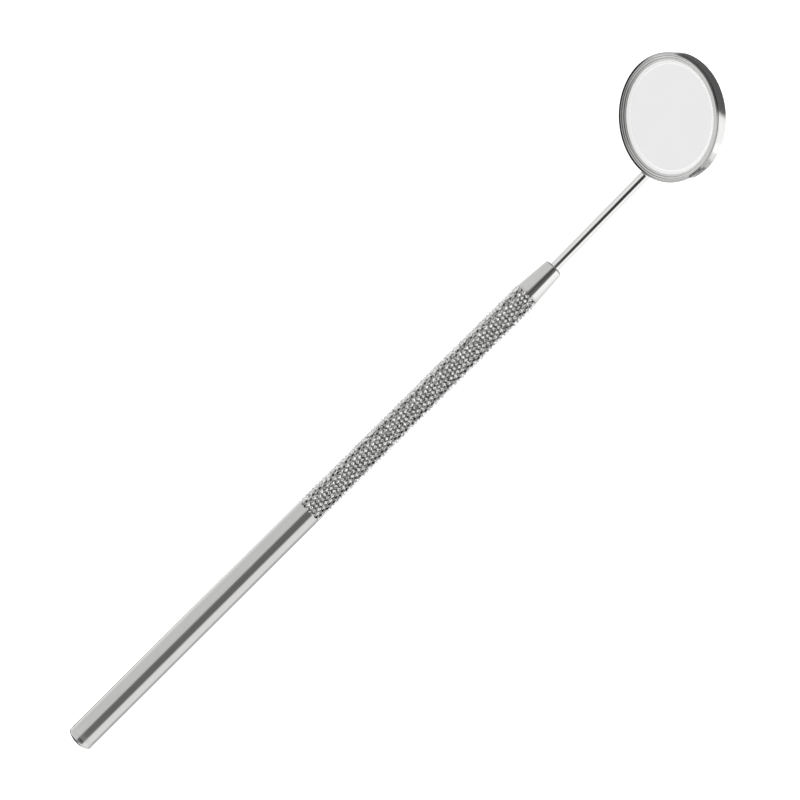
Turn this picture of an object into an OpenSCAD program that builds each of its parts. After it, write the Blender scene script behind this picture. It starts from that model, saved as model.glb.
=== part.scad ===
// Mouth mirror: a hollow knurled handle and a round mirror head that screws into its nose.
// It lies on a flat surface, as it is put down in use: on the knurl and on the back edge of the cup.
// +X runs along the handle towards the mirror head, +Z is up, and z = 0 is the surface it lies on.
// The origin is the middle of the bottom of the whole object.

/* [Handle] */
// Diameter of the plain rear part of the handle
handle_d = 5.4; // [4.6:0.1:6]
// Diameter over the crests of the knurl
knurl_d = 5.5; // [5:0.1:6.4]
// Length of the plain rear part, with the domed end
plain_len = 62.8; // [40:0.2:80]
// Length of the knurled grip
knurl_len = 58.8; // [40:0.2:80]
// Wall of the handle tube
tube_wall = 0.6; // [0.4:0.05:0.7]
// Length of the straight side between the dome and the tube
dome_land = 0.5; // [0.2:0.1:1.5]
// Radius of the dome at the rear end
dome_r = 5; // [3.5:0.5:12]
// Radius of the rounding between the dome and the side of the handle
dome_edge_r = 0.7; // [0.4:0.1:1]
// Length of each spigot inside the tube
spigot_len = 6; // [4:0.5:10]
// Width of each weld bead
weld_w = 0.35; // [0.2:0.05:0.5]
// Depth of each weld bead
weld_depth = 0.25; // [0.15:0.05:0.3]

/* [Nose] */
// Length of the tapered nose
nose_len = 7.2; // [5:0.2:12]
// Diameter of the nose at the knurl
nose_rear_d = 5.1; // [4.4:0.1:5.3]
// Diameter of the nose at its tip
nose_tip_d = 3.95; // [3.4:0.05:4.3]
// Chamfer around the tip of the nose
nose_chamfer = 0.2; // [0.1:0.05:0.3]

/* [Screw thread] */
// Diameter over the thread of the stem
thread_d = 2.5; // [2.3:0.1:2.8]
// Pitch of the thread
thread_pitch = 0.45; // [0.35:0.05:0.5]
// Turns of thread that are engaged when the head is screwed home
thread_turns = 12; // [10:1:14]
// Radial clearance of the thread in the nose
thread_gap = 0.03; // [0.02:0.01:0.08]
// Depth of the thread's front end below the tip of the nose
thread_inset = 0.9; // [0.4:0.1:2]
// Diameter of the pin that locates the thread in the stem
locator_d = 1.1; // [0.8:0.1:1.4]
// Length of the locating pin
locator_len = 2; // [1:0.5:4]

/* [Stem] */
// Diameter of the stem
stem_d = 2.1; // [1.8:0.1:2.2]
// Length of the stem between the nose and the corner of the cup
stem_len = 26.05; // [18:0.05:40]
// Reach of the stem under the back of the cup
stem_reach = 2.4; // [1.6:0.1:3]
// Reach of the braze along the stem
braze_reach = 0.9; // [0.5:0.1:2]
// Radius of the braze where it meets the cup
braze_r = 1.75; // [1.3:0.05:2.2]

/* [Mirror head] */
// Outer diameter of the head
head_d = 24.4; // [18:0.1:30]
// Thickness of the head, from its lip to its back
head_t = 2.4; // [2.2:0.1:3]
// Angle between the mirror and the axis of the handle
head_angle = 38.5; // [30:0.5:50]
// Thickness of the sheet that the cup is drawn from
sheet_t = 0.3; // [0.25:0.05:0.4]
// Inner diameter of the rolled lip
lip_d = 21.4; // [15:0.1:26]
// Slope of the lip, down towards the glass
lip_angle = 20; // [5:0.5:25]
// Rounding of the lip's and the back's outer corners
corner_r = 0.15; // [0.1:0.05:0.4]
// Inner diameter of the flat top of the seal ring
seal_top_d = 20.4; // [14.5:0.1:25.5]
// Inner diameter of the seal ring on the glass
seal_d = 19.7; // [14:0.1:25]
// Depth of the mirror's face below the lip
glass_depth = 0.95; // [0.7:0.05:1]
// Thickness of the glass
glass_t = 0.75; // [0.6:0.05:1.2]
// Thickness of the reflective film on the front of the glass
film_t = 0.03; // [0.01:0.01:0.05]
// Thickness of the adhesive behind the glass
adhesive_t = 0.04; // [0.02:0.01:0.06]
// Gap around the glass, inside the wall of the cup
glass_gap = 0.15; // [0.05:0.05:0.4]

/* [Hidden] */
$fn = 96;
slip = 0.01;    // gap between parts that are pushed together before they are welded
joint_gap = 0.02; // gap around and in front of the locating pin
braze_rim = 0.15; // height of the braze above the stem where it runs out

handle_r = handle_d / 2;
knurl_r = knurl_d / 2;
bore_r = handle_r - tube_wall;
head_r = head_d / 2;
cup_bore_r = head_r - sheet_t;
stem_r = stem_d / 2;

// Stations along the handle, from its rear end
dome_angle = asin((handle_r - dome_edge_r) / (dome_r - dome_edge_r));
dome_h = dome_r - (dome_r - dome_edge_r) * cos(dome_angle);
tube_start = dome_h + dome_land;
knurl_end = plain_len + knurl_len;
nose_tip = knurl_end + nose_len;
thread_len = thread_turns * thread_pitch;
thread_front = nose_tip - thread_inset;
cup_corner = nose_tip + stem_len;

// The stem's axis runs through the back corner of the cup. The head's own frame has its origin at
// the middle of the lip's plane, its Z square to the mirror and its X away from the stem.
head_along = cup_corner + head_r * cos(head_angle) - head_t * sin(head_angle);
head_offset = head_r * sin(head_angle) + head_t * cos(head_angle);

// The head's corners are rounded, so its edges are two circles swept by a small ball
edge_circle_r = head_r - corner_r;
back_edge_depth = head_t - corner_r;
function circle_reach(n) = edge_circle_r * sqrt(1 - n * n) + corner_r;

// Roll of the head about the handle at which the cup's back edge touches the surface below
function back_edge_height(roll) = let (n = cos(head_angle) * cos(roll))
    knurl_r + head_offset * cos(roll) - back_edge_depth * n - circle_reach(n);
function find_roll(low, high) = let (mid = (low + high) / 2)
    high - low < 1e-9 ? mid : back_edge_height(mid) > 0 ? find_roll(mid, high) : find_roll(low, mid);
head_roll = find_roll(10, 60);

// Middle of the whole object, seen from above
far_end = head_along + back_edge_depth * sin(head_angle) + circle_reach(sin(head_angle));
head_mid_y = head_offset * sin(head_roll) - head_t / 2 * cos(head_angle) * sin(head_roll);
middle = [far_end / 2, head_mid_y];

// The lip's top starts where the rounding of the outer corner ends, as [radius, height], and slopes
// down inwards from there
lip_start = [head_r - corner_r * (1 + sin(lip_angle)), corner_r * (cos(lip_angle) - 1)];
function over_lip(r) = lip_start.y - (lip_start.x - r) * tan(lip_angle);
function under_lip(r) = over_lip(r) - sheet_t / cos(lip_angle);
seal_top = under_lip(lip_d / 2) - slip;

// Depths in the head, below the lip's plane
film_back = glass_depth + film_t;
glass_back = film_back + glass_t;
adhesive_back = glass_back + adhesive_t;
pad_back = head_t - sheet_t;

// ---- Frames ----

// Children drawn along +X from the rear end of the handle, at rest on the surface
module on_handle() {
    translate([-middle.x, -middle.y, knurl_r]) children();
}

// Children drawn in the head's own frame
module on_head() {
    on_handle() rotate([-head_roll, 0, 0]) translate([head_along, 0, head_offset])
        rotate([0, -head_angle, 0]) children();
}

// A solid turned about the handle's axis, from a profile of [radius, station]
module turned() {
    rotate([0, 90, 0]) rotate_extrude() children();
}

// A round bar along the handle's axis
module bar(start, end, r) {
    translate([start, 0, 0]) rotate([0, 90, 0]) cylinder(h = end - start, r = r);
}

// A tapered round bar along the handle's axis
module taper(start, end, r_start, r_end) {
    translate([start, 0, 0]) rotate([0, 90, 0]) cylinder(h = end - start, r1 = r_start, r2 = r_end);
}

// A flat disc in the head's frame, between two depths
module disc(top, bottom, r) {
    translate([0, 0, -bottom]) cylinder(h = bottom - top, r = r);
}

// ---- Handle ----

// Half-section of the domed rear end, up to the land
module dome_profile() {
    intersection() {
        union() {
            difference() {
                translate([0, dome_r]) circle(r = dome_r, $fn = 360);
                translate([0, dome_r]) polygon([[0, 0], [9, 0], [9, -9 / tan(dome_angle)]]);
                translate([0, dome_r]) square([9, 9]);
            }
            translate([handle_r - dome_edge_r, dome_h]) circle(r = dome_edge_r, $fn = 360);
            translate([0, dome_h / 2]) square([handle_r - dome_edge_r, dome_h]);
        }
        square([handle_r, dome_h]);
    }
}

module rear_plug() {
    color("lightgray") on_handle() {
        turned() dome_profile();
        bar(dome_h, tube_start - weld_w / 2, handle_r);
        bar(tube_start - weld_w / 2, tube_start, handle_r - weld_depth - slip);
        bar(tube_start, tube_start + spigot_len, bore_r - slip);
    }
}

// Each weld bead fills a shallow groove, half in each of the two parts that it joins
module rear_weld_ring() {
    color("white") on_handle() difference() {
        bar(tube_start - weld_w / 2 + slip, tube_start + weld_w / 2 - slip, handle_r);
        bar(tube_start - weld_w, tube_start + weld_w, handle_r - weld_depth);
    }
}

module handle_tube() {
    color("silver") on_handle() difference() {
        union() {
            bar(tube_start + weld_w / 2, plain_len, handle_r);
            bar(tube_start, plain_len, handle_r - weld_depth - slip);
            bar(plain_len, knurl_end - weld_w / 2, knurl_r);
            bar(plain_len, knurl_end, nose_rear_d / 2 - weld_depth - slip);
        }
        bar(tube_start - 1, knurl_end + 1, bore_r);
    }
}

// ---- Nose ----

// Radius of the nose at a station
function nose_r(station) = (nose_rear_d + (nose_tip_d - nose_rear_d) * (station - knurl_end) / nose_len) / 2;

module nose_weld_ring() {
    start = knurl_end - weld_w / 2 + slip;
    end = knurl_end + weld_w / 2 - slip;
    color("white") on_handle() difference() {
        taper(start, end, nose_r(start), nose_r(end));
        bar(start - 1, end + 1, nose_rear_d / 2 - weld_depth);
    }
}

module nose_bush() {
    cone_start = knurl_end + weld_w / 2;
    chamfer_start = nose_tip - nose_chamfer;
    color("silver") on_handle() difference() {
        union() {
            bar(knurl_end - spigot_len, knurl_end, bore_r - slip);
            bar(knurl_end, cone_start, nose_rear_d / 2 - weld_depth - slip);
            taper(cone_start, chamfer_start, nose_r(cone_start), nose_r(chamfer_start));
            taper(chamfer_start, nose_tip, nose_r(chamfer_start), nose_r(nose_tip) - nose_chamfer);
        }
        bar(knurl_end - spigot_len - 1, nose_tip + 1, thread_d / 2 + thread_gap);
    }
}

// ---- Stem ----

module threaded_stud() {
    color("darkgray") on_handle() {
        bar(thread_front - thread_len, thread_front, thread_d / 2);
        bar(thread_front - 1, thread_front + locator_len, locator_d / 2);
    }
}

// The space that the whole head fills, which the stem and the braze are notched around
module head_envelope() {
    on_head() disc(0, head_t, head_r);
}

module stem_rod(r) {
    on_handle() bar(thread_front + joint_gap, cup_corner + stem_reach, r);
}

module stem() {
    color("silver") difference() {
        stem_rod(stem_r);
        head_envelope();
        on_handle() bar(thread_front - 1, thread_front + locator_len + joint_gap, locator_d / 2 + joint_gap);
    }
}

module stem_braze() {
    color("gainsboro") difference() {
        on_handle() {
            taper(cup_corner - braze_reach, cup_corner, stem_r + braze_rim, braze_r);
            bar(cup_corner, cup_corner + braze_reach, braze_r);
            taper(cup_corner + braze_reach, cup_corner + 2 * braze_reach, braze_r, stem_r + braze_rim);
        }
        head_envelope();
        stem_rod(stem_r);
    }
}

// ---- Mirror head ----

// Half-section of the cup: back, wall and the lip rolled in over the glass
module cup_profile() {
    lip_r = lip_d / 2;
    difference() {
        union() {
            translate([0, -head_t]) square([head_r - corner_r, head_t - corner_r]);
            translate([0, -head_t]) square([lip_start.x, head_t + lip_start.y]);
            translate([0, -head_t + corner_r]) square([head_r, head_t - 2 * corner_r]);
            translate([head_r - corner_r, -corner_r]) circle(r = corner_r, $fn = 64);
            translate([head_r - corner_r, corner_r - head_t]) circle(r = corner_r, $fn = 64);
        }
        polygon([[-1, -pad_back], [cup_bore_r, -pad_back], [cup_bore_r, under_lip(cup_bore_r)],
                 [lip_r, under_lip(lip_r)], [lip_r, over_lip(lip_r)], lip_start,
                 [lip_start.x, 1], [-1, 1]]);
    }
}

module mirror_cup() {
    color("silver") on_head() rotate_extrude() intersection() {
        cup_profile();
        translate([0, -head_t - 1]) square([head_r, head_t + 2]);
    }
}

// The seal lies under the lip, with a flat top beside it and a sloping edge down to the glass
module edge_seal() {
    outer_r = cup_bore_r - slip;
    color("lightgray") on_head() rotate_extrude()
        polygon([[seal_d / 2, -glass_depth], [outer_r, -glass_depth], [outer_r, under_lip(outer_r) - slip],
                 [lip_d / 2, seal_top], [seal_top_d / 2, seal_top]]);
}

// The reflective film is on the front of the glass, so that the mirror shows one image and no ghost
module mirror_coating() {
    color("whitesmoke") on_head() disc(glass_depth, film_back, cup_bore_r - glass_gap);
}

module mirror_glass() {
    color("aliceblue") on_head() disc(film_back, glass_back, cup_bore_r - glass_gap);
}

module glass_adhesive() {
    color("dimgray") on_head() disc(glass_back, adhesive_back, cup_bore_r - glass_gap);
}

module backing_disc() {
    color("tan") on_head() disc(adhesive_back, pad_back, cup_bore_r - glass_gap);
}

handle_tube();
rear_plug();
rear_weld_ring();
nose_bush();
nose_weld_ring();
threaded_stud();
stem();
stem_braze();
mirror_cup();
edge_seal();
mirror_glass();
mirror_coating();
glass_adhesive();
backing_disc();
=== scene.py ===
"""Mouth mirror: a tubular steel handle with a knurled grip, and a round head that screws into its nose."""
import math
import random

import bmesh
import bpy
import numpy as np
from mathutils import Matrix, Vector


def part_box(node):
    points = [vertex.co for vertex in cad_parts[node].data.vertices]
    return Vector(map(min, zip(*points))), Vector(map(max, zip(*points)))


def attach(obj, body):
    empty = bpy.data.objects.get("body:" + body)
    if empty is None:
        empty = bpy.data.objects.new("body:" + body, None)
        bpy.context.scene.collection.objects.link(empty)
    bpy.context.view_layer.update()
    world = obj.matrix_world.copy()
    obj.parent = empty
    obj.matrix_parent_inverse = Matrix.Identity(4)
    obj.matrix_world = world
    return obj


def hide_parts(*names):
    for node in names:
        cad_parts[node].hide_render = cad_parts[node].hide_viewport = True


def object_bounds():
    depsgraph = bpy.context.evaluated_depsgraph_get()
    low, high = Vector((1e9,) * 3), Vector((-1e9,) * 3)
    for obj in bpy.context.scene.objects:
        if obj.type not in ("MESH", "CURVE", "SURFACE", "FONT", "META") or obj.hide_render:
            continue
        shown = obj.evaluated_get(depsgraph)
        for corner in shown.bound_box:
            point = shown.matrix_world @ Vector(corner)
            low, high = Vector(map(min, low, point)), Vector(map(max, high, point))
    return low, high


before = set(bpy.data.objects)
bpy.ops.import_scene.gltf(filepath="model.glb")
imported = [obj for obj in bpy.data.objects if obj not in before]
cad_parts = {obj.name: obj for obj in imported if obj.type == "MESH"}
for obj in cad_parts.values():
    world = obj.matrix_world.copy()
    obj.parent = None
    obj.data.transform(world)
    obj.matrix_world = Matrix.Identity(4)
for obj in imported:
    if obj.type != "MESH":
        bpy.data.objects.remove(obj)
CAD_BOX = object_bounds()

MM = 0.001
TAU = 2 * math.pi
# How close in mm two places or radii of the CAD model are when they count as the same.
TOLERANCE = 0.01

# ---------------------------------------------------------------- the handle's and the head's own frames


def points_of(node):
    """A CAD node's vertices in the row frame, one row each."""
    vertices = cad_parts[node].data.vertices
    flat = np.empty(len(vertices) * 3)
    vertices.foreach_get("co", flat)
    return flat.reshape(-1, 3)


def columns(x_axis, y_axis, z_axis, origin):
    """The matrix that takes a local frame with these axes and this origin to the row frame."""
    rows = [[x_axis[i], y_axis[i], z_axis[i], origin[i]] for i in range(3)]
    return Matrix(rows + [[0, 0, 0, 1]])


def low_high(node):
    """The first and last place of a node along the handle, in mm from the handle's rear end."""
    low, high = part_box(node)
    return (low.x - REAR_X) / MM, (high.x - REAR_X) / MM


def box_radius(node):
    """The outer radius in mm of a node that is round about the handle's axis."""
    low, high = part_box(node)
    return (high.z - low.z) / 2 / MM


def handle_profile(node):
    """(distance from the handle's rear end, distance from its axis) in mm of each vertex of a node."""
    p = points_of(node)
    radius = np.hypot(p[:, 1] - AXIS_Y, p[:, 2] - AXIS_Z) / MM
    return (p[:, 0] - REAR_X) / MM, radius


REAR_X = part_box("rear_plug")[0].x
TUBE_LOW, TUBE_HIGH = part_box("handle_tube")
AXIS_Y = (TUBE_LOW.y + TUBE_HIGH.y) / 2
AXIS_Z = (TUBE_LOW.z + TUBE_HIGH.z) / 2
# Local z runs from the handle's rear end to its nose, and local y points up from the floor.
HANDLE = columns((0, 1, 0), (0, 0, 1), (1, 0, 0), (REAR_X, AXIS_Y, AXIS_Z))


def head_frame():
    """The head's own frame, with its origin in the lip's plane.

    Local z is the mirror's outward axis, and local x leans towards the far end.
    """
    glass = points_of("mirror_glass")
    middle = (glass.min(0) + glass.max(0)) / 2
    spread = np.cov((glass - glass.mean(0)).T)
    normal = np.linalg.eigh(spread)[1][:, 0]
    normal = normal if normal[2] > 0 else -normal
    lip = (points_of("mirror_cup") @ normal).max()
    origin = middle + normal * (lip - middle @ normal)
    side = np.array([1, 0, 0]) - normal * normal[0]
    side /= np.linalg.norm(side)
    return columns(side, np.cross(normal, side), normal, origin)


HEAD = head_frame()

# ---------------------------------------------------------------- sizes in mm, as the CAD model has them

KNURL_R = box_radius("handle_tube")
PLAIN_R = box_radius("rear_weld_ring")
TUBE_START, TUBE_END = low_high("handle_tube")
PLUG_END = low_high("rear_weld_ring")[0]
PLUG_INNER_END = low_high("rear_plug")[1]
NOSE_START = low_high("nose_weld_ring")[1]
NOSE_TIP = low_high("nose_bush")[1]
NOSE_INNER = low_high("nose_bush")[0]
STUD_START, STUD_END = low_high("threaded_stud")
STEM_START = low_high("stem")[0]
STUD_R = box_radius("threaded_stud")
STEM_R = box_radius("stem")
# The radius of the tube's bore.
BORE_R = 2.1

tube_along, tube_radius = handle_profile("handle_tube")
PLAIN_END = tube_along[abs(tube_radius - PLAIN_R) < TOLERANCE].max()
KNURL_END = tube_along[abs(tube_radius - KNURL_R) < TOLERANCE].max()


def head_span(node):
    """The lowest and highest place of a node of the head from the lip's plane, and its radius, in mm."""
    local = (points_of(node) - np.array(HEAD.translation)) @ np.array(HEAD.to_3x3()) / MM
    return local[:, 2].min(), local[:, 2].max(), np.hypot(local[:, 0], local[:, 1]).max()


CUP_FLOOR, _, CUP_R = head_span("mirror_cup")
SEAL_LOW, _, SEAL_R = head_span("edge_seal")
GLASS_LOW, GLASS_HIGH, GLASS_R = head_span("mirror_glass")
FILM_LOW, FILM_HIGH, FILM_R = head_span("mirror_coating")
BOND_LOW, BOND_HIGH, BOND_R = head_span("glass_adhesive")
PAD_LOW, PAD_HIGH, PAD_R = head_span("backing_disc")
SHEET = PAD_LOW - CUP_FLOOR
CUP_BORE_R = CUP_R - SHEET
# How round the corner between the cup's wall and its lip is, and the radius of the lip's inner edge.
CORNER = 0.15
LIP_R = 10.7
LIP_SLOPE = math.tan(math.radians(20))
SEAL_TOP_R = 10.2
SEAL_INNER_R = 9.85
# The radii of the two fine turned lines in the lip's upper face.
LINE_RADII = (11.5, 11.08)


def over_lip(r):
    """The height of the lip's upper face at a radius, from the lip's plane. It falls towards the glass."""
    slope = math.atan(LIP_SLOPE)
    touch_r = CUP_R - CORNER * (1 + math.sin(slope))
    touch_z = CORNER * (math.cos(slope) - 1)
    return touch_z - (touch_r - r) * LIP_SLOPE


def under_lip(r):
    """The height of the lip's lower face at a radius."""
    return over_lip(r) - SHEET / math.cos(math.atan(LIP_SLOPE))


# ---------------------------------------------------------------- mesh helpers

# Edges that bend less than this many degrees are shaded smooth.
SMOOTH_BELOW = 50
KNURL_SMOOTH_BELOW = 32
# The most degrees of arc between two points of a rounded corner.
ARC_STEP = 12.0


def rounded(corners, closed=True):
    """An outline of (along, radius) points, from corners of (along, radius, rounding radius)."""
    out = []
    count = len(corners)
    for i, (z, r, fillet) in enumerate(corners):
        here = Vector((z, r))
        open_end = not closed and i in (0, count - 1)
        if fillet <= 0 or open_end:
            out.append((z, r))
            continue
        before = Vector(corners[i - 1][:2]) - here
        after = Vector(corners[(i + 1) % count][:2]) - here
        before.normalize()
        after.normalize()
        half = before.angle(after) / 2
        back = fillet / math.tan(half)
        start = here + before * back
        end = here + after * back
        centre = here + (before + after).normalized() * (fillet / math.sin(half))
        turn = math.pi - 2 * half
        parts = max(2, math.ceil(math.degrees(turn) / ARC_STEP))
        a = start - centre
        b = end - centre
        for k in range(parts + 1):
            t = k / parts
            arm = a * math.sin((1 - t) * turn) + b * math.sin(t * turn)
            arm /= math.sin(turn)
            out.append(tuple(centre + arm))
    return out


def polar(r, angle, z):
    """The point at a radius and an angle about local z."""
    return r * math.cos(angle), r * math.sin(angle), z


def ring_of(bm, z, r, around):
    """A ring of new vertices about local z, or one new vertex when its radius is 0."""
    if r == 0:
        return [bm.verts.new((0, 0, z))]
    return [bm.verts.new(polar(r, TAU * k / around, z)) for k in range(around)]


def lathe(outline, around, closed=True):
    """A bmesh turned about local z from (along, radius) points in mm."""
    bm = bmesh.new()
    rings = [ring_of(bm, z, r, around) for z, r in outline]
    pairs = list(zip(rings, rings[1:]))
    if closed:
        pairs.append((rings[-1], rings[0]))
    for low, high in pairs:
        join_rings(bm, low, high)
    bmesh.ops.recalc_face_normals(bm, faces=bm.faces)
    return bm


def join_rings(bm, low, high):
    """Faces between two rings of vertices, either of which may be one vertex on the axis."""
    count = max(len(low), len(high))
    for k in range(count):
        n = (k + 1) % count
        if len(low) == 1 and len(high) == 1:
            return
        if len(low) == 1:
            bm.faces.new((low[0], high[n], high[k]))
        elif len(high) == 1:
            bm.faces.new((low[k], low[n], high[0]))
        else:
            bm.faces.new((low[k], low[n], high[n], high[k]))


def make(name, bm, place):
    """A smooth object from a bmesh in local mm, with its vertices put in the row frame."""
    mesh = bpy.data.meshes.new(name)
    bm.to_mesh(mesh)
    bm.free()
    mesh.transform(place @ Matrix.Scale(MM, 4))
    obj = bpy.data.objects.new(name, mesh)
    bpy.context.scene.collection.objects.link(obj)
    return obj


def cut(obj, tool):
    """Takes the tool's volume out of obj for good, and removes the tool."""
    modifier = obj.modifiers.new("cut", "BOOLEAN")
    modifier.operation = "DIFFERENCE"
    modifier.solver = "EXACT"
    modifier.object = tool
    bpy.context.view_layer.update()
    graph = bpy.context.evaluated_depsgraph_get()
    made = bpy.data.meshes.new_from_object(obj.evaluated_get(graph))
    obj.modifiers.clear()
    obj.data = made
    bpy.data.objects.remove(tool)
    return obj


def finish_piece(obj, place, body, node, material, smooth_below=SMOOTH_BELOW):
    """Gives a piece its local coordinates, its material, smooth normals, and its place in the frame."""
    mesh = obj.data
    inverse = place.inverted()
    lay = mesh.attributes.new("lay", "FLOAT_VECTOR", "POINT")
    local = [inverse @ v.co / MM for v in mesh.vertices]
    lay.data.foreach_set("vector", [c for p in local for c in p])
    for p in mesh.polygons:
        p.use_smooth = True
    bm = bmesh.new()
    bm.from_mesh(mesh)
    for e in bm.edges:
        e.smooth = len(e.link_faces) == 2 and e.calc_face_angle(0) < math.radians(smooth_below)
    bm.to_mesh(mesh)
    bm.free()
    weights = obj.modifiers.new("normals", "WEIGHTED_NORMAL")
    weights.keep_sharp = True
    weights.weight = 80
    mesh.materials.clear()
    mesh.materials.append(material)
    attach(obj, body)
    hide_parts(node)


# ---------------------------------------------------------------- shader helpers


class Shader:
    """Short calls for building a node tree."""

    def __init__(self, tree):
        self.tree = tree
        tree.nodes.clear()

    def node(self, kind, **values):
        """A new node with some of its own settings."""
        made = self.tree.nodes.new(kind)
        for key, value in values.items():
            setattr(made, key, value)
        return made

    def feed(self, socket, value):
        """Links a socket, or sets it when value is a number or a colour."""
        if isinstance(value, bpy.types.NodeSocket):
            self.tree.links.new(value, socket)
        elif isinstance(value, (tuple, list)) and len(socket.default_value) == 4 and len(value) == 3:
            socket.default_value = (*value, 1)
        else:
            socket.default_value = value

    def math(self, operation, a, b=0.0):
        made = self.node("ShaderNodeMath", operation=operation)
        self.feed(made.inputs[0], a)
        self.feed(made.inputs[1], b)
        return made.outputs[0]

    def span(self, value, low, high, to_low=0.0, to_high=1.0, smooth=False):
        """Maps low..high to to_low..to_high, clamped."""
        made = self.node("ShaderNodeMapRange", clamp=True)
        made.interpolation_type = "SMOOTHSTEP" if smooth else "LINEAR"
        for socket, number in zip(made.inputs, (value, low, high, to_low, to_high)):
            self.feed(socket, number)
        return made.outputs[0]

    def vary(self, noise, low=0.0, high=1.0):
        """Maps a noise, which seldom leaves its middle range, to low..high."""
        return self.span(noise, 0.3, 0.7, low, high)

    def product(self, value, *factors):
        """All the values multiplied."""
        for factor in factors:
            value = self.math("MULTIPLY", value, factor)
        return value

    def highest(self, value, *others):
        """The highest of the values."""
        for other in others:
            value = self.math("MAXIMUM", value, other)
        return value

    def toward(self, x, y, side):
        """How far the point x, y is towards a side."""
        return self.math("ADD", self.math("MULTIPLY", x, side[0]), self.math("MULTIPLY", y, side[1]))

    def mix(self, factor, a, b):
        """A colour between a and b."""
        made = self.node("ShaderNodeMix", data_type="RGBA")
        self.feed(made.inputs[0], factor)
        self.feed(made.inputs[6], a)
        self.feed(made.inputs[7], b)
        return made.outputs[2]

    def axes(self, vector):
        """The X, Y and Z of a vector."""
        made = self.node("ShaderNodeSeparateXYZ")
        self.feed(made.inputs[0], vector)
        return made.outputs

    def lay(self, scale=(1, 1, 1)):
        """The piece's own coordinates in mm, times a scale for each axis."""
        source = self.node("ShaderNodeAttribute", attribute_name="lay")
        made = self.node("ShaderNodeVectorMath", operation="MULTIPLY")
        self.feed(made.inputs[0], source.outputs["Vector"])
        made.inputs[1].default_value = scale
        return made.outputs[0]

    def noise(self, scale, detail=2.0, roughness=0.5):
        """Noise over the piece's own coordinates, with a scale for each axis."""
        made = self.node("ShaderNodeTexNoise")
        self.feed(made.inputs["Vector"], self.lay(scale))
        made.inputs["Scale"].default_value = 1.0
        made.inputs["Detail"].default_value = detail
        made.inputs["Roughness"].default_value = roughness
        return made.outputs["Fac"]

    def bump(self, height, distance):
        """A normal from a height of 0 to 1, where 1 is a distance in metres."""
        made = self.node("ShaderNodeBump")
        made.inputs["Distance"].default_value = distance
        self.feed(made.inputs["Height"], height)
        return made.outputs[0]

    def principled(self, **inputs):
        """The material's surface, from the shader's sockets by name, with _ for a space."""
        made = self.node("ShaderNodeBsdfPrincipled")
        for key, value in inputs.items():
            self.feed(made.inputs[key.replace("_", " ")], value)
        out = self.node("ShaderNodeOutputMaterial")
        self.tree.links.new(made.outputs[0], out.inputs[0])


def new_material(name):
    """An empty material, and the calls that fill it."""
    material = bpy.data.materials.new(name)
    material.use_nodes = True
    return material, Shader(material.node_tree)


# ---------------------------------------------------------------- materials

STEEL_LIGHT = (0.655, 0.65, 0.64)
STEEL_DEEP = (0.60, 0.597, 0.59)
SCRATCHED = (0.48, 0.478, 0.475)
NECK_LIGHT = (0.82, 0.817, 0.81)
NECK_DEEP = (0.77, 0.767, 0.76)
# Painted light: the grip's steel colours, lifted far above the barrel's to offset the shade in the knurl's
# grooves.
GRIP_LIFTED_LIGHT = (0.94, 0.937, 0.93)
GRIP_LIFTED_DEEP = (0.80, 0.797, 0.79)
RESIDUE = (0.12, 0.118, 0.115)
CUP_LIGHT = (0.72, 0.715, 0.705)
CUP_DEEP = (0.66, 0.657, 0.65)
# Painted shade: the dark of the cup's edge and wall patch, also used for its darker lines and near side.
CUP_SHADE_AND_DARKENING = (0.03, 0.03, 0.032)
# Painted shade: the dark of the arc on the rear cap's edge.
CAP_PAINTED_SHADE = (0.02, 0.02, 0.022)
# Heights of surface grain, in metres.
POLISHED_GRAIN = 0.0000006
GROUND_GRAIN = 0.0000015
# Noise scales per mm for lines drawn along the handle, and for lines turned round it.
DRAWN = (3.0, 3.0, 0.25)
TURNED = (1.0, 1.0, 6.0)


def side_of_head(degrees):
    """The direction of one side of the head, in the head's own frame."""
    angle = math.radians(degrees)
    return math.cos(angle), -math.sin(angle)


# The side of the wall that holds a patch of painted shade.
SHADE_PATCH_SIDE = side_of_head(116)
# The sides towards which the cup is painted darker.
NEAR_DARK_SIDE = side_of_head(238)
FAR_DARK_SIDE = side_of_head(17)


def polish(s, along):
    """How worn the polish is, from soft smudges and fine lines, and the lines alone."""
    smudge = s.noise((0.35, 0.35, 0.12), 4.0, 0.6)
    lines = s.noise(along, 3.0, 0.65)
    wear = s.math("ADD", s.math("MULTIPLY", smudge, 0.6), s.math("MULTIPLY", lines, 0.4))
    return wear, lines


def steel(name, smooth, dull, tints):
    """Polished and turned stainless steel: smudges in its gloss, fine turning lines, and a soft grain."""
    material, s = new_material(name)
    wear, lines = polish(s, TURNED)
    speck = s.noise((4.0, 4.0, 4.0), 2.0, 0.5)
    height = s.math("ADD", lines, s.math("MULTIPLY", speck, 0.6))
    s.principled(
        Base_Color=s.mix(s.vary(wear), *tints),
        Metallic=1.0,
        Roughness=s.vary(wear, smooth, dull),
        Normal=s.bump(height, POLISHED_GRAIN),
    )
    return material


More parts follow.
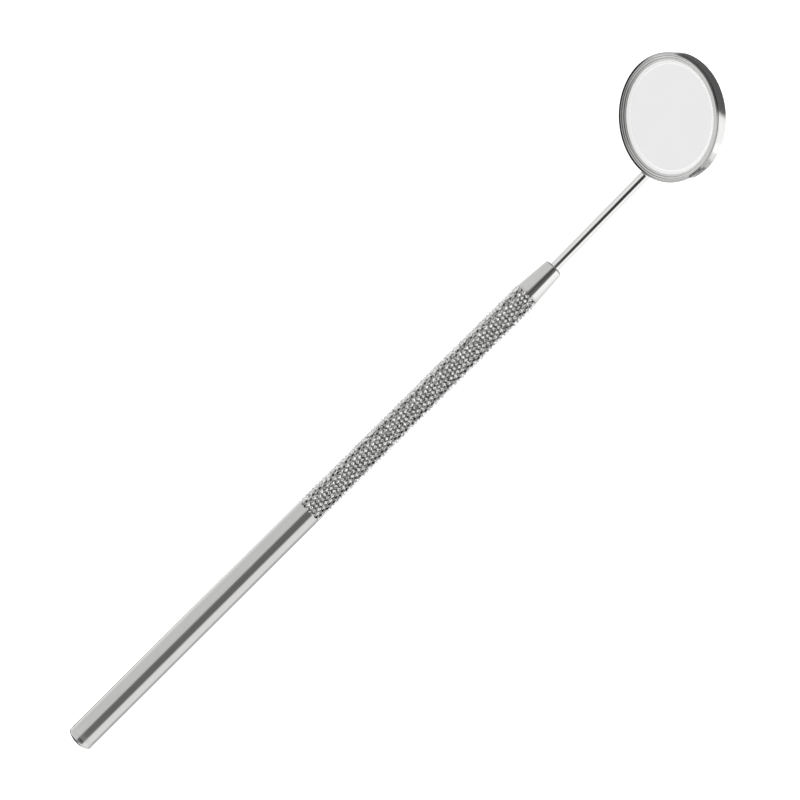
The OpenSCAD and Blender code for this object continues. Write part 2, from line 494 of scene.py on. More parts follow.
def handle_steel():
    """The handle's steel: long faint draw lines on the plain barrel, and a grip whose colour is lifted with
    painted light against the shade in its grooves.
    """
    material, s = new_material("handle_steel")
    grip = s.span(s.axes(s.lay())[2], PLAIN_END - 0.06, PLAIN_END)
    wear, lines = polish(s, DRAWN)
    speck = s.noise((2.5, 2.5, 2.5), 3.0, 0.6)
    barrel = s.mix(s.vary(wear), STEEL_DEEP, STEEL_LIGHT)
    barrel = s.mix(s.span(speck, 0.25, 0.75, 0.0, 0.16), barrel, SCRATCHED)
    residue = s.span(s.noise((3.8, 3.8, 3.8), 2.0, 0.5), 0.49, 0.59, 0.0, 0.66)
    # Painted light: the grip's colour is lifted to offset the shade in its grooves.
    teeth = s.mix(residue, s.mix(speck, GRIP_LIFTED_DEEP, GRIP_LIFTED_LIGHT), RESIDUE)
    barrel_gloss = s.math("MULTIPLY", s.vary(wear, 0.13, 0.2), s.math("SUBTRACT", 1.0, grip))
    teeth_gloss = s.math("MULTIPLY", s.vary(speck, 0.08, 0.15), grip)
    s.principled(
        Base_Color=s.mix(grip, barrel, teeth),
        Metallic=1.0,
        Roughness=s.math("ADD", barrel_gloss, teeth_gloss),
        Normal=s.bump(s.math("ADD", lines, s.math("MULTIPLY", speck, 0.6)), POLISHED_GRAIN),
    )
    return material


def cap_steel():
    """Turned steel with a thin dark arc of painted shade on one side of the rolled rear edge, standing in
    for a dark reflection.
    """
    material, s = new_material("cap_steel")
    side, up, along = s.axes(s.lay())
    # Painted shade: on the upper half, at the very rear, and on one side only.
    shade_crescent = s.product(
        s.span(up, -0.5, 0.0),
        s.span(along, 0.72, 0.86, 1.0, 0.0),
        s.span(side, -0.3, 0.0),
        s.span(side, 1.7, 2.2, 1.0, 0.0),
    )
    turned = s.noise(TURNED, 3.0, 0.65)
    clean = s.mix(s.vary(turned), STEEL_DEEP, STEEL_LIGHT)
    s.principled(
        Base_Color=s.mix(shade_crescent, clean, CAP_PAINTED_SHADE),
        Metallic=s.math("SUBTRACT", 1.0, shade_crescent),
        Roughness=s.math("ADD", s.vary(turned, 0.07, 0.13), s.math("MULTIPLY", shade_crescent, 0.6)),
        Normal=s.bump(turned, POLISHED_GRAIN),
    )
    return material


def cup_steel():
    """Spun steel with painted shade along its front edge and in one patch on its wall, dark turned lines in
    its lip, and a darker near side.
    """
    material, s = new_material("spun_steel")
    x, y, z = s.axes(s.lay())
    radius = s.math("POWER", s.math("ADD", s.math("MULTIPLY", x, x), s.math("MULTIPLY", y, y)), 0.5)
    near = s.toward(x, y, NEAR_DARK_SIDE)
    far = s.toward(x, y, FAR_DARK_SIDE)
    # Darkens the cup towards its near side.
    film = s.math("MULTIPLY", s.span(near, CUP_R * 0.2, CUP_R * 0.9), 0.4)
    lines = [line_darkening(s, radius, z, near, line) for line in LINE_RADII]
    shade_patch = wall_shade_patch(s, radius, z, s.toward(x, y, SHADE_PATCH_SIDE))
    dark = s.highest(edge_painted_shade(s, radius, z, near, far), shade_patch, film, *lines)
    spun = s.noise((2.0, 2.0, 2.0), 3.0, 0.6)
    s.principled(
        Base_Color=s.mix(dark, s.mix(s.vary(spun), CUP_DEEP, CUP_LIGHT), CUP_SHADE_AND_DARKENING),
        Metallic=1.0,
        Roughness=s.math("ADD", s.vary(spun, 0.09, 0.16), s.math("MULTIPLY", dark, 0.15)),
        Normal=s.bump(spun, POLISHED_GRAIN),
    )
    return material


def edge_painted_shade(s, radius, z, near, far):
    """Painted shade in two dark stretches of the edge between lip and wall: a long near one, and a short
    far one.
    """
    edge = s.span(radius, CUP_R - 0.5, CUP_R - 0.42)
    front = s.span(z, -0.28, -0.2)
    long_one = s.span(near, CUP_R * 0.2, CUP_R * 0.6, 0.3, 1.0, smooth=True)
    short_one = s.span(far, CUP_R * 0.68, CUP_R * 0.86, 0.0, 0.9, smooth=True)
    return s.product(edge, front, s.highest(long_one, short_one))


def line_darkening(s, radius, z, near, line):
    """Darker in one turned line of the lip, stronger on the near side."""
    off = s.math("ABSOLUTE", s.math("SUBTRACT", radius, line))
    strength = s.span(near, -CUP_R * 0.5, CUP_R * 0.5, 0.1, 0.75)
    return s.product(s.span(off, 0.05, 0.11, 1.0, 0.0), s.span(z, -0.7, -0.6), strength)


def wall_shade_patch(s, radius, z, toward):
    """A speckled patch of painted shade on a short stretch of the wall, a painted reflection of the shadow
    under the head, with ends that a noise makes ragged.
    """
    edge_noise = s.noise((1.3, 1.3, 1.3), 4.0, 0.6)
    nearness = s.math("ADD", s.math("DIVIDE", toward, radius), s.math("MULTIPLY", edge_noise, 0.03))
    speck = s.span(s.noise((3.5, 3.5, 3.5), 2.0, 0.5), 0.35, 0.6, 0.6, 0.97)
    on_wall = s.product(s.span(radius, CUP_R - 0.5, CUP_R - 0.4), s.span(z, -2.0, -1.8))
    return s.product(s.span(nearness, 1.002, 1.005), on_wall, speck)


def weld_steel():
    """A ground weld: a little duller and warmer than the tube, with faint ripples round the joint."""
    material, s = new_material("ground_weld")
    ripple = s.noise((2.2, 2.2, 9.0), 3.0, 0.6)
    s.principled(
        Base_Color=s.mix(s.vary(ripple), (0.60, 0.59, 0.575), STEEL_LIGHT),
        Metallic=1.0,
        Roughness=s.vary(ripple, 0.16, 0.26),
        Normal=s.bump(ripple, GROUND_GRAIN),
    )
    return material


def silver_braze():
    """Silver solder: a slightly warm white metal with a fine cast skin."""
    material, s = new_material("silver_braze")
    skin = s.noise((6.0, 6.0, 6.0), 4.0, 0.6)
    pool = s.noise((1.2, 1.2, 1.2), 2.0, 0.5)
    s.principled(
        Base_Color=s.mix(s.vary(pool), (0.60, 0.575, 0.53), (0.70, 0.685, 0.65)),
        Metallic=1.0,
        Roughness=s.vary(skin, 0.2, 0.36),
        Normal=s.bump(skin, 0.000004),
    )
    return material


def rubber_seal():
    """Pale silicone in two tones: greyer on top, and whiter where its thin edge slopes down to the glass, a
    painted highlight at the glass's edge.
    """
    material, s = new_material("pale_seal")
    skin = s.noise((5.0, 5.0, 5.0), 3.0, 0.6)
    top = under_lip(LIP_R)
    near_top = s.span(s.axes(s.lay())[2], top - 0.045, top - 0.02)
    # Painted highlight: the slope down to the glass is whiter than the top.
    grey_top = s.mix(skin, (0.76, 0.76, 0.755), (0.84, 0.84, 0.835))
    clean = s.mix(skin, (0.84, 0.84, 0.835), (0.90, 0.90, 0.895))
    s.principled(
        Base_Color=s.mix(near_top, clean, grey_top),
        Roughness=s.vary(skin, 0.38, 0.52),
        Normal=s.bump(skin, 0.000002),
        IOR=1.41,
    )
    return material


def clear_glass():
    """Clear float glass with the faintest haze where it has been wiped."""
    material, s = new_material("clear_glass")
    wipe = s.noise((0.5, 0.08, 0.5), 3.0, 0.6)
    s.principled(
        Base_Color=(0.985, 0.995, 0.99),
        Roughness=s.span(wipe, 0.45, 0.8, 0.0, 0.012),
        IOR=1.52,
        Transmission_Weight=1.0,
    )
    return material


def front_film():
    """The reflecting metal on the front of the glass: very smooth, with a hardly visible cloudiness."""
    material, s = new_material("front_film")
    cloud = s.noise((0.25, 0.25, 0.25), 2.0, 0.5)
    s.principled(
        Base_Color=s.mix(cloud, (0.79, 0.79, 0.795), (0.812, 0.812, 0.817)),
        Metallic=1.0,
        Roughness=s.vary(cloud, 0.008, 0.016),
    )
    return material


def grey_bond():
    """The thin grey adhesive between the glass and the pad."""
    material, s = new_material("grey_bond")
    flow = s.noise((0.8, 0.8, 0.8), 3.0, 0.5)
    s.principled(
        Base_Color=s.mix(flow, (0.12, 0.125, 0.13), (0.17, 0.175, 0.18)),
        Roughness=s.vary(flow, 0.35, 0.5),
        Normal=s.bump(flow, 0.000003),
    )
    return material


def fibre_pad():
    """The off-white pressed fibre disc under the glass."""
    material, s = new_material("fibre_pad")
    fibres = s.noise((1.5, 12.0, 1.5), 4.0, 0.65)
    s.principled(
        Base_Color=s.mix(fibres, (0.66, 0.64, 0.6), (0.82, 0.80, 0.76)),
        Roughness=s.vary(fibres, 0.75, 0.95),
        Normal=s.bump(fibres, 0.00002),
    )
    return material


# ---------------------------------------------------------------- the handle

# The knurl has KNURL_AROUND grooves each way, and each diamond is KNURL_STEPS lattice steps on a side.
KNURL_AROUND = 17
KNURL_STEPS = 8
KNURL_PITCH = 1.765
KNURL_DEPTH = 0.36
# Half a groove's width, in lattice steps.
GROOVE_HALF = 3
# How much the crests differ in height and lean.
CREST_DROP = 0.02
CREST_LEAN = 0.16
# The most that each square of BURR_CELL lattice steps is dented.
BURR = 0.055
BURR_CELL = 4
KNURL_SEED = 7


def groove(step):
    """How deep the knurl's groove is at a lattice step across one diamond, from 0 on the crest to 1."""
    near = min(step % KNURL_STEPS, -step % KNURL_STEPS)
    return max(0.0, 1 - near / GROOVE_HALF)


def cell(i, j, size):
    """Names the square of lattice steps that a point is in, alike on both sides of the seam at angle 0."""
    across = 2 * KNURL_AROUND * KNURL_STEPS // size
    return i // size - j // size, (i // size + j // size) % across


def knurl_radius(i, j, tooth, burr):
    """The skin's radius at a lattice point of a diamond that stands and leans a little on its own."""
    rise, lean_i, lean_j = tooth
    deep = max(groove(i), groove(j))
    u = (i % KNURL_STEPS) / KNURL_STEPS - 0.5
    v = (j % KNURL_STEPS) / KNURL_STEPS - 0.5
    own = CREST_DROP * (rise - 1) + CREST_LEAN * (lean_i * u + lean_j * v)
    return KNURL_R - KNURL_DEPTH * deep + min(own * (1 - deep), 0) - BURR * burr


def knurl_rows(start, end):
    """Rings of (angle, radius, along) for the knurled skin: two families of V grooves that cross."""
    rng = random.Random(KNURL_SEED)
    count = round((end - start) * 2 * KNURL_STEPS / KNURL_PITCH)
    row_step = (end - start) / count
    half_turns = 2 * KNURL_STEPS * KNURL_AROUND
    teeth = {}
    burrs = {}
    rows = []
    for m in range(count + 1):
        ring = []
        for k in range(m % 2, half_turns, 2):
            i = (k + m) // 2
            j = (k - m) // 2
            tooth = teeth.setdefault(cell(i, j, KNURL_STEPS), [rng.uniform(-1, 1) for _ in range(3)])
            burr = burrs.setdefault(cell(i, j, BURR_CELL), rng.random())
            r = knurl_radius(i, j, tooth, burr)
            ring.append((TAU * k / half_turns, r, start + m * row_step))
        rows.append(ring)
    return rows


def handle_tube():
    """The plain barrel, the knurled grip and the bore, as one closed skin."""
    bm = bmesh.new()
    rows = knurl_rows(PLAIN_END, KNURL_END)
    rings = [[bm.verts.new(polar(r, angle, z)) for angle, r, z in row] for row in rows]
    for m, (low, high) in enumerate(zip(rings, rings[1:])):
        join_staggered(bm, low, high, m)
    rear = carry_on(bm, rings[0], rows[0], tail_outline())
    front = carry_on(bm, rings[-1], rows[-1], front_outline())
    # In the bore, the two end rings are half a step apart when the last row is a shifted one.
    if (len(rows) - 1) % 2:
        join_staggered(bm, rear, front, 0)
    else:
        join_rings(bm, rear, front)
    bmesh.ops.recalc_face_normals(bm, faces=bm.faces)
    return bm


def carry_on(bm, ring, row, outline):
    """Skins an outline on from a ring, at the angles of its row, and returns the last ring."""
    for z, r in outline:
        fresh = [bm.verts.new(polar(r, angle, z)) for angle, _, _ in row]
        join_rings(bm, ring, fresh)
        ring = fresh
    return ring


def join_staggered(bm, low, high, m):
    """Triangles between two lattice rows, the second shifted by half a step."""
    count = len(low)
    for k in range(count):
        n = (k + 1) % count
        if m % 2 == 0:
            bm.faces.new((low[k], low[n], high[k]))
            bm.faces.new((high[k], low[n], high[n]))
        else:
            bm.faces.new((low[k], high[n], high[k]))
            bm.faces.new((low[k], low[n], high[n]))


def tail_outline():
    """From the knurl's rear edge along the plain barrel to the rear edge and into the bore."""
    out = [(PLAIN_END - 0.02, PLAIN_R)]
    steps = 40
    for k in range(1, steps):
        out.append((PLAIN_END + (TUBE_START + 0.1 - PLAIN_END) * k / steps, PLAIN_R))
    out += [(TUBE_START + 0.06, PLAIN_R), (TUBE_START + 0.015, PLAIN_R - 0.012)]
    out += [(TUBE_START, PLAIN_R - 0.05), (TUBE_START, BORE_R + 0.05), (TUBE_START + 0.05, BORE_R)]
    return out


def front_outline():
    """From the knurl's front edge over the tube's front edge and into the bore."""
    edge = KNURL_R - KNURL_DEPTH
    return [
        (KNURL_END, edge - 0.02),
        (TUBE_END, edge - 0.03),
        (TUBE_END, BORE_R + 0.05),
        (TUBE_END - 0.05, BORE_R),
    ]


REAR_WELD_BORE_R = 2.2
NOSE_WELD_BORE_R = 2.3
NOSE_WELD_REAR_R = 2.562
NOSE_WELD_TIP_R = 2.553


def plug_mesh():
    """A shallow dome, a rolled edge, a short barrel, and the spigot that fills the tube's bore."""
    dome_r = 5.0
    edge_r = 0.7
    spigot = BORE_R - 0.02
    centre_r = PLAIN_R - edge_r
    reach = math.sqrt((dome_r - edge_r) ** 2 - centre_r**2)
    centre_z = dome_r - reach
    touch = math.atan2(centre_r, reach)
    outline = [(0, 0)]
    parts = 12
    for k in range(1, parts + 1):
        angle = touch * k / parts
        outline.append((dome_r - dome_r * math.cos(angle), dome_r * math.sin(angle)))
    for k in range(1, parts + 1):
        angle = touch + (math.pi / 2 - touch) * k / parts
        outline.append((centre_z - edge_r * math.cos(angle), centre_r + edge_r * math.sin(angle)))
    outline += [(PLUG_END - 0.03, PLAIN_R), (PLUG_END, PLAIN_R - 0.02)]
    outline += [(PLUG_END, spigot + 0.06), (PLUG_END + 0.06, spigot)]
    outline += [(PLUG_INNER_END - 0.25, spigot), (PLUG_INNER_END, spigot - 0.25), (PLUG_INNER_END, 0)]
    return lathe(outline, 128, closed=False)


def ring_mesh(start, end, inner, outer_start, outer_end):
    """A flush ring between start and end, whose outer radius may taper."""
    fillet = 0.03
    corners = [
        (start, inner, fillet),
        (start, outer_start, fillet),
        (end, outer_end, fillet),
        (end, inner, fillet),
    ]
    return lathe(rounded(corners), 128)


def nose_mesh():
    """The tapered bush that the head screws into, with a chamfered tip and a countersunk thread mouth."""
    along, radius = handle_profile("nose_bush")
    front = along > NOSE_START - TOLERANCE
    rear_r = radius[front & (along < NOSE_START + 0.1)].max()
    spigot = radius[along < NOSE_START - 0.5].max()
    tip_face_r = radius[along > NOSE_TIP - TOLERANCE].max()
    tip_r = radius[along > NOSE_TIP - 0.3].max()
    bore = radius[along > NOSE_TIP - TOLERANCE].min()
    corners = [
        (NOSE_INNER, bore, 0.03),
        (NOSE_INNER, spigot - 0.2, 0.03),
        (NOSE_INNER + 0.2, spigot, 0.03),
        (NOSE_START, spigot, 0.03),
        (NOSE_START, rear_r, 0.04),
        (NOSE_TIP - (tip_r - tip_face_r), tip_r, 0.12),
        (NOSE_TIP, tip_face_r, 0.05),
        (NOSE_TIP, bore + 0.18, 0.03),
        (NOSE_TIP - 0.18, bore, 0.03),
    ]
    return lathe(rounded(corners), 144)


THREAD_PITCH = 0.45
THREAD_DEPTH = 0.276
# Where the crest starts and how wide a flank is, as parts of half a turn.
THREAD_CREST = 0.875
THREAD_FLANK = 0.625
ROWS_PER_TURN = 16


def thread_depth(turns):
    """The depth of a 60 degree thread at a place in turns, from 0 on its crest to 1 in its root."""
    t = abs((turns % 1) - 0.5) * 2
    return min(1.0, max(0.0, (THREAD_CREST - t) / THREAD_FLANK))


def stud_mesh():
    """The screw thread on the rear end of the stem, with a plain locating pin that runs into the stem."""
    along, radius = handle_profile("threaded_stud")
    thread_end = along[radius > STUD_R - 0.05].max()
    pin_r = radius[along > STUD_END - 0.05].max()
    bm = bmesh.new()
    around = 64
    rows = round((thread_end - STUD_START) / THREAD_PITCH * ROWS_PER_TURN)
    rings = []
    for m in range(rows + 1):
        z = STUD_START + (thread_end - STUD_START) * m / rows
        from_end = min(z - STUD_START, thread_end - z)
        fade = min(1.0, from_end / 0.4)
        trim = 0.25 * max(0.0, 1 - from_end / 0.25)
        ring = []
        for k in range(around):
            deep = THREAD_DEPTH * thread_depth(z / THREAD_PITCH - k / around) * fade
            ring.append(bm.verts.new(polar(STUD_R - max(deep, trim), TAU * k / around, z)))
        rings.append(ring)
    rings.insert(0, ring_of(bm, STUD_START, 0, around))
    tail = [
        (thread_end, pin_r + 0.03),
        (thread_end + 0.03, pin_r),
        (STUD_END - 0.08, pin_r),
        (STUD_END, pin_r - 0.08),
        (STUD_END, 0),
    ]
    rings += [ring_of(bm, z, r, around) for z, r in tail]
    for low_ring, high_ring in zip(rings, rings[1:]):
        join_rings(bm, low_ring, high_ring)
    bmesh.ops.recalc_face_normals(bm, faces=bm.faces)
    return bm


# ---------------------------------------------------------------- the head

# The neck's slope to one side, and where along the handle it starts.
BEND = 0.012
BEND_START = 129.0
PIN_R = 0.57
# How far the stem runs on into the cup before the cup's shape is cut from it.
STEM_OVERRUN = 0.8
BRAZE_R = 1.75
BRAZE_REACH = 1.7
BRAZE_RIM = 0.035
BRAZE_CURVE = 1.1
# How much the cup's wall swells, and the half width and the depth of a turned line.
BULGE = 0.06
LINE_HALF = 0.11
LINE_DEPTH = 0.075


def cup_outside():
    """Corners of the cup's outer shape, from the middle of its back to the lip's inner edge."""
    return [
        (CUP_FLOOR, 0, 0),
        *spokes(CUP_FLOOR, CUP_R - CORNER - BULGE),
        (CUP_FLOOR, CUP_R - BULGE, CORNER),
        *wall(),
        (over_lip(CUP_R), CUP_R - BULGE / 3, CORNER),
        *lip_lines(),
        (over_lip(LIP_R), LIP_R, 0.1),
    ]


def wall():
    """Corners up the cup's side, which swells slightly between its back and its lip."""
    low = CUP_FLOOR + CORNER * 1.5
    high = over_lip(CUP_R) - CORNER * 1.5
    parts = 8
    corners = []
    for k in range(parts + 1):
        t = k / parts
        r = CUP_R - BULGE * (1 - t) ** 2 - BULGE / 3 * t**2
        corners.append((low + (high - low) * t, r, 0))
    return corners


def lip_lines():
    """Two fine turned lines in the lip's upper face, each a shallow V."""
    corners = []
    for r in LINE_RADII:
        for offset, depth in ((LINE_HALF, 0), (0, LINE_DEPTH), (-LINE_HALF, 0)):
            corners.append((over_lip(r + offset) - depth, r + offset, 0.02))
    return corners


def spokes(z, r):
    """Ring corners that carry a flat face from near the middle out to radius r."""
    shares = (0.06, 0.3, 0.6, 0.9, 0.99)
    return [(z, r * share, 0) for share in shares]


def head_envelope():
    """The cup's outer shape as a solid, for cutting what meets it."""
    corners = cup_outside() + [(over_lip(LIP_R), 0, 0)]
    return make("envelope", lathe(rounded(corners, closed=False), 256, closed=False), HEAD)


def bend(bm):
    """Leans everything past the nose a little to one side, as the neck of a used mirror is."""
    for v in bm.verts:
        past = max(0.0, v.co.z - BEND_START)
        v.co.x += past * past / (past + 1.0) * BEND
    return bm


def stem_piece():
    """The thin round neck, with a rounded rear edge and its far end cut to the cup's edge."""
    high = low_high("stem")[1] + STEM_OVERRUN
    rear = STUD_END + 0.02
    corners = [
        (rear, 0, 0),
        (rear, PIN_R, 0.02),
        (STEM_START, PIN_R, 0.02),
        (STEM_START, STEM_R, 0.08),
    ]
    steps = 24
    corners += [(STEM_START + (high - STEM_START) * (k + 0.5) / steps, STEM_R, 0) for k in range(steps)]
    corners += [(high, STEM_R, 0), (high, 0, 0)]
    bm = lathe(rounded(corners, closed=False), 128, closed=False)
    return cut(make("stem_piece", bend(bm), HANDLE), head_envelope())


def braze_piece():
    """The small foot of solder that swells from the stem to the cup's edge and closes again behind it."""
    low, high = low_high("stem_braze")
    inner = STEM_R + 0.005
    rim = STEM_R + BRAZE_RIM
    parts = 18
    shares = [k / parts for k in range(parts + 1)]
    outline = [(low + BRAZE_REACH * t, rim + (BRAZE_R - rim) * t**BRAZE_CURVE) for t in shares]
    bulge = low + BRAZE_REACH
    for k in range(1, parts + 1):
        angle = math.pi / 2 * k / parts
        r = inner + (BRAZE_R - inner) * math.cos(angle)
        outline.append((bulge + (high - bulge) * math.sin(angle), r))
    outline.append((low, inner))
    bm = lathe(outline, 128, closed=True)
    return cut(make("stem_braze_piece", bend(bm), HANDLE), head_envelope())


def cup_mesh():
    """The drawn steel cup: a flat back, a short wall, and a lip rolled inwards down to the seal."""
    corners = cup_outside() + [
        (under_lip(LIP_R), LIP_R, 0.1),
        (under_lip(CUP_BORE_R), CUP_BORE_R, 0.04),
        (CUP_FLOOR + SHEET, CUP_BORE_R, 0.04),
        *reversed(spokes(CUP_FLOOR + SHEET, CUP_BORE_R - 0.04)),
        (CUP_FLOOR + SHEET, 0, 0),
    ]
    return lathe(rounded(corners, closed=False), 288, closed=False)


def disc_mesh(low, high, radius, edge):
    """A thin disc with its two edges ground to a small bevel."""
    flat = radius - edge * 1.3
    corners = [
        (low, 0, 0),
        *spokes(low, flat),
        (low, radius - edge, edge * 0.3),
        (low + edge, radius, edge * 0.3),
        (high - edge, radius, edge * 0.3),
        (high, radius - edge, edge * 0.3),
        *reversed(spokes(high, flat)),
        (high, 0, 0),
    ]
    return lathe(rounded(corners, closed=False), 256, closed=False)


def seal_mesh():
    """The pale ring under the lip, which climbs to the lip's edge and slopes down to the glass."""
    slip = 0.01
    top = under_lip(LIP_R) - slip
    corners = [
        (SEAL_LOW, SEAL_INNER_R, 0.01),
        (SEAL_LOW, SEAL_R, 0.03),
        (under_lip(SEAL_R) - slip, SEAL_R, 0.03),
        (top, LIP_R - slip, 0.02),
        (over_lip(LIP_R) - 0.05, LIP_R - slip, 0.02),
        (top, SEAL_TOP_R, 0.08),
    ]
    return lathe(rounded(corners), 256)


def handle_pieces(turned):
    """(piece, bmesh, body, node, slot, material) of each piece that is round about the handle's axis."""
    weld = weld_steel()
    rear_weld = ring_mesh(*low_high("rear_weld_ring"), REAR_WELD_BORE_R, PLAIN_R, PLAIN_R)
    nose_weld = ring_mesh(*low_high("nose_weld_ring"), NOSE_WELD_BORE_R, NOSE_WELD_REAR_R, NOSE_WELD_TIP_R)
    return [
        ("handle_body", handle_tube(), "handle", "handle_tube", "handle_steel", handle_steel()),
        ("rear_cap", plug_mesh(), "handle", "rear_plug", "plug_steel", cap_steel()),
        ("rear_weld", rear_weld, "handle", "rear_weld_ring", "weld_bead", weld),
        ("nose_weld", nose_weld, "handle", "nose_weld_ring", "weld_bead", weld),
        ("nose", nose_mesh(), "handle", "nose_bush", "nose_steel", turned),
        ("screw_stud", stud_mesh(), "screw_thread", "threaded_stud", "thread_steel", turned),
    ]


def head_pieces():
    """(piece, bmesh, node, slot, material) of each piece that is round about the mirror's axis."""
    glass = disc_mesh(GLASS_LOW, GLASS_HIGH, GLASS_R, 0.12)
    film = disc_mesh(FILM_LOW, FILM_HIGH, FILM_R, 0.008)
    bond = disc_mesh(BOND_LOW, BOND_HIGH, BOND_R, 0.012)
    pad = disc_mesh(PAD_LOW, PAD_HIGH, PAD_R, 0.04)
    return [
        ("cup", cup_mesh(), "mirror_cup", "cup_steel", cup_steel()),
        ("seal_ring", seal_mesh(), "edge_seal", "seal", rubber_seal()),
        ("glass_disc", glass, "mirror_glass", "clear_glass", clear_glass()),
        ("film_disc", film, "mirror_coating", "reflective_film", front_film()),
        ("bond_disc", bond, "glass_adhesive", "bond", grey_bond()),
        ("pad_disc", pad, "backing_disc", "cushion", fibre_pad()),
    ]


def build():
    """Makes every piece and puts it on its body."""
    turned = steel("turned_steel", 0.07, 0.13, (STEEL_DEEP, STEEL_LIGHT))
    neck = steel("bright_steel", 0.06, 0.12, (NECK_DEEP, NECK_LIGHT))
    for name, bm, body, node, slot, material in handle_pieces(turned):
        smooth_below = KNURL_SMOOTH_BELOW if name == "handle_body" else SMOOTH_BELOW
        finish_piece(make(name, bm, HANDLE), HANDLE, body, node, material, smooth_below)
    for name, bm, node, slot, material in head_pieces():
        finish_piece(make(name, bm, HEAD), HEAD, "mirror_head", node, material)
    finish_piece(stem_piece(), HANDLE, "mirror_head", "stem", neck)
    finish_piece(braze_piece(), HANDLE, "mirror_head", "stem_braze", silver_braze())


# ---------------------------------------------------------------- floor, light and camera

# The sky's brightness by angle round the handle: 0 is straight up, and positive angles are on the -Y side.
REAR_SKY = [
    (-180, 0.95), (-60, 0.9), (-25, 0.85), (-10, 0.3), (35, 0.3), (50, 1.05), (180, 1.05),
]
BARREL_SKY = [
    (-180, 1.3), (-140, 1.22), (-128, 1.14), (-106, 0.87), (-90, 0.84), (-22, 0.84), (-13, 0.2), (36, 0.19),
    (46, 1.1), (100, 1.13), (111, 0.64), (138, 0.62), (150, 1.25), (180, 1.3),
]
STEM_SKY = [
    (-180, 1.25), (-128, 0.95), (-106, 0.88), (-89, 0.84), (-60, 0.95), (-40, 1.0), (-27, 1.0), (-22, 0.05),
    (34, 0.05), (40, 1.1), (60, 1.17), (106, 1.05), (140, 1.08), (180, 1.25),
]
NOSE_SKY = [
    (-180, 1.25), (-128, 1.05), (-106, 0.88), (-22, 0.85), (-8, 0.2), (36, 0.18), (46, 1.45), (70, 1.5),
    (140, 1.5), (180, 1.25),
]
HEAD_SKY = [
    (-180, 1.25), (-128, 1.05), (-106, 0.88), (-22, 0.85), (-8, 0.2), (36, 0.18), (46, 1.2), (70, 1.25),
    (120, 1.3), (140, 1.2), (180, 1.25),
]
# Each sky fades into the next as the direction turns from the rear end (-1) towards the far end (+1).
SKIES = [
    (BARREL_SKY, -0.4, -0.3), (STEM_SKY, 0.08, 0.095), (NOSE_SKY, 0.165, 0.2), (HEAD_SKY, 0.28, 0.34),
]
# Soft spots on the sky: a direction, the angles where the fade starts and ends, and a brightness.
SPOTS = [
    ((0.92, -0.05, -0.35), 38, 44, 0.13),
    ((0.6, 0.21, -0.77), 10, 17, 0.14),
    ((0.55, -0.1, 0.83), 16, 23, 0.02),
    ((-0.43, 0.22, -0.87), 17, 25, 0.03),
    ((-0.7, 0.12, -0.7), 12, 17, 0.03),
    ((-0.757, 0.652, 0.036), 14, 23, 1.03),
]


def sky(s, place, bands):
    """The brightness of one sky, from bands of (degrees, value)."""
    ramp = s.node("ShaderNodeValToRGB")
    s.feed(ramp.inputs[0], place)
    stops = ramp.color_ramp.elements
    while len(stops) < len(bands):
        stops.new(0.5)
    for stop, (degrees, value) in zip(stops, bands):
        stop.position = (degrees + 180) / 360
        stop.color = (value, value, value, 1)
    return ramp.outputs[0]


def inside_spot(s, where, direction, inner, outer):
    """1 within the inner angle from a direction, and 0 beyond the outer angle."""
    dot = s.node("ShaderNodeVectorMath", operation="DOT_PRODUCT")
    s.feed(dot.inputs[0], where)
    dot.inputs[1].default_value = Vector(direction).normalized()
    edges = [math.cos(math.radians(angle)) for angle in (outer, inner)]
    return s.span(dot.outputs["Value"], *edges, smooth=True)


def studio():
    """A white sky with the dark and light bands that soft boxes and gaps make in polished steel."""
    world = bpy.data.worlds.new("studio")
    world.use_nodes = True
    bpy.context.scene.world = world
    s = Shader(world.node_tree)
    where = s.node("ShaderNodeTexCoord").outputs["Generated"]
    x, y, z = s.axes(where)
    around = s.math("ARCTAN2", s.math("MULTIPLY", y, -1.0), z)
    place = s.span(around, -math.pi, math.pi)
    light = sky(s, place, REAR_SKY)
    for bands, start, end in SKIES:
        light = s.mix(s.span(x, start, end), light, sky(s, place, bands))
    for direction, inner, outer, value in SPOTS:
        light = s.mix(inside_spot(s, where, direction, inner, outer), light, (value, value, value))
    path = s.node("ShaderNodeLightPath")
    light = s.mix(path.outputs["Is Camera Ray"], light, (1.0, 1.0, 1.0))
    background = s.node("ShaderNodeBackground")
    s.feed(background.inputs[0], light)
    out = s.node("ShaderNodeOutputWorld")
    s.tree.links.new(background.outputs[0], out.inputs[0])


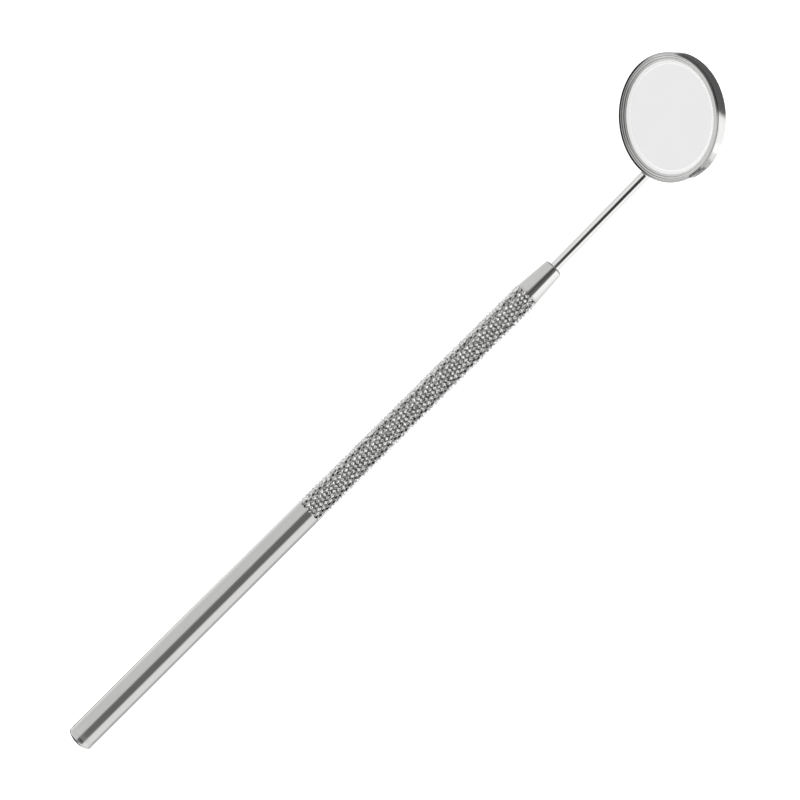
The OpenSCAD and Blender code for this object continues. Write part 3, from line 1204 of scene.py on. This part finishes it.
FLOOR_HALF = 4000
FLOOR_GAP = 0.02 * MM


def floor():
    """A plain white table top that fades into the background."""
    bm = bmesh.new()
    bmesh.ops.create_grid(bm, x_segments=8, y_segments=8, size=FLOOR_HALF)
    obj = make("floor", bm, Matrix.Translation((0, 0, CAD_BOX[0].z - FLOOR_GAP)))
    material, s = new_material("white_table")
    grain = s.node("ShaderNodeTexNoise")
    grain.inputs["Scale"].default_value = 400
    s.principled(
        Base_Color=s.mix(grain.outputs[0], (0.88, 0.88, 0.88), (0.9, 0.9, 0.9)),
        Roughness=0.9,
        Emission_Color=(1, 1, 1),
        Emission_Strength=0.72,
    )
    obj.data.materials.append(material)
    obj.visible_glossy = False
    obj.visible_transmission = False


def lamp():
    """One large soft lamp overhead, which lights the floor and the pale parts."""
    data = bpy.data.lights.new("overhead", "AREA")
    data.shape = "DISK"
    data.size = 0.9
    data.energy = 6
    obj = bpy.data.objects.new("overhead", data)
    bpy.context.scene.collection.objects.link(obj)
    obj.location = (0.0, 0.1, 1.1)
    obj.visible_glossy = False


# The camera's lens in mm, its distance, the point it looks at, and its turns, which give the photo's view.
LENS = 96.5
DISTANCE = 412.8 * MM
AIM = Vector((REAR_X + 90.07 * MM, AXIS_Y + 2.78 * MM, 0))
TILT_X, TILT_Y, ROLL = math.radians(0.75), math.radians(0.51), math.radians(44.847)


def camera():
    """Looks straight down on the resting instrument, with its handle along the frame's diagonal."""
    data = bpy.data.cameras.new("camera")
    data.lens = LENS
    data.sensor_width = 36
    data.clip_start = 0.01
    data.clip_end = 50
    obj = bpy.data.objects.new("camera", data)
    bpy.context.scene.collection.objects.link(obj)
    turn = Matrix.Rotation(TILT_X, 3, "X") @ Matrix.Rotation(TILT_Y, 3, "Y") @ Matrix.Rotation(ROLL, 3, "Z")
    back = turn.transposed()
    obj.matrix_world = Matrix.Translation(AIM + back @ Vector((0, 0, DISTANCE))) @ back.to_4x4()
    bpy.context.scene.camera = obj


build()
floor()
lamp()
studio()
camera()
bpy.context.scene.view_settings.view_transform = "Standard"
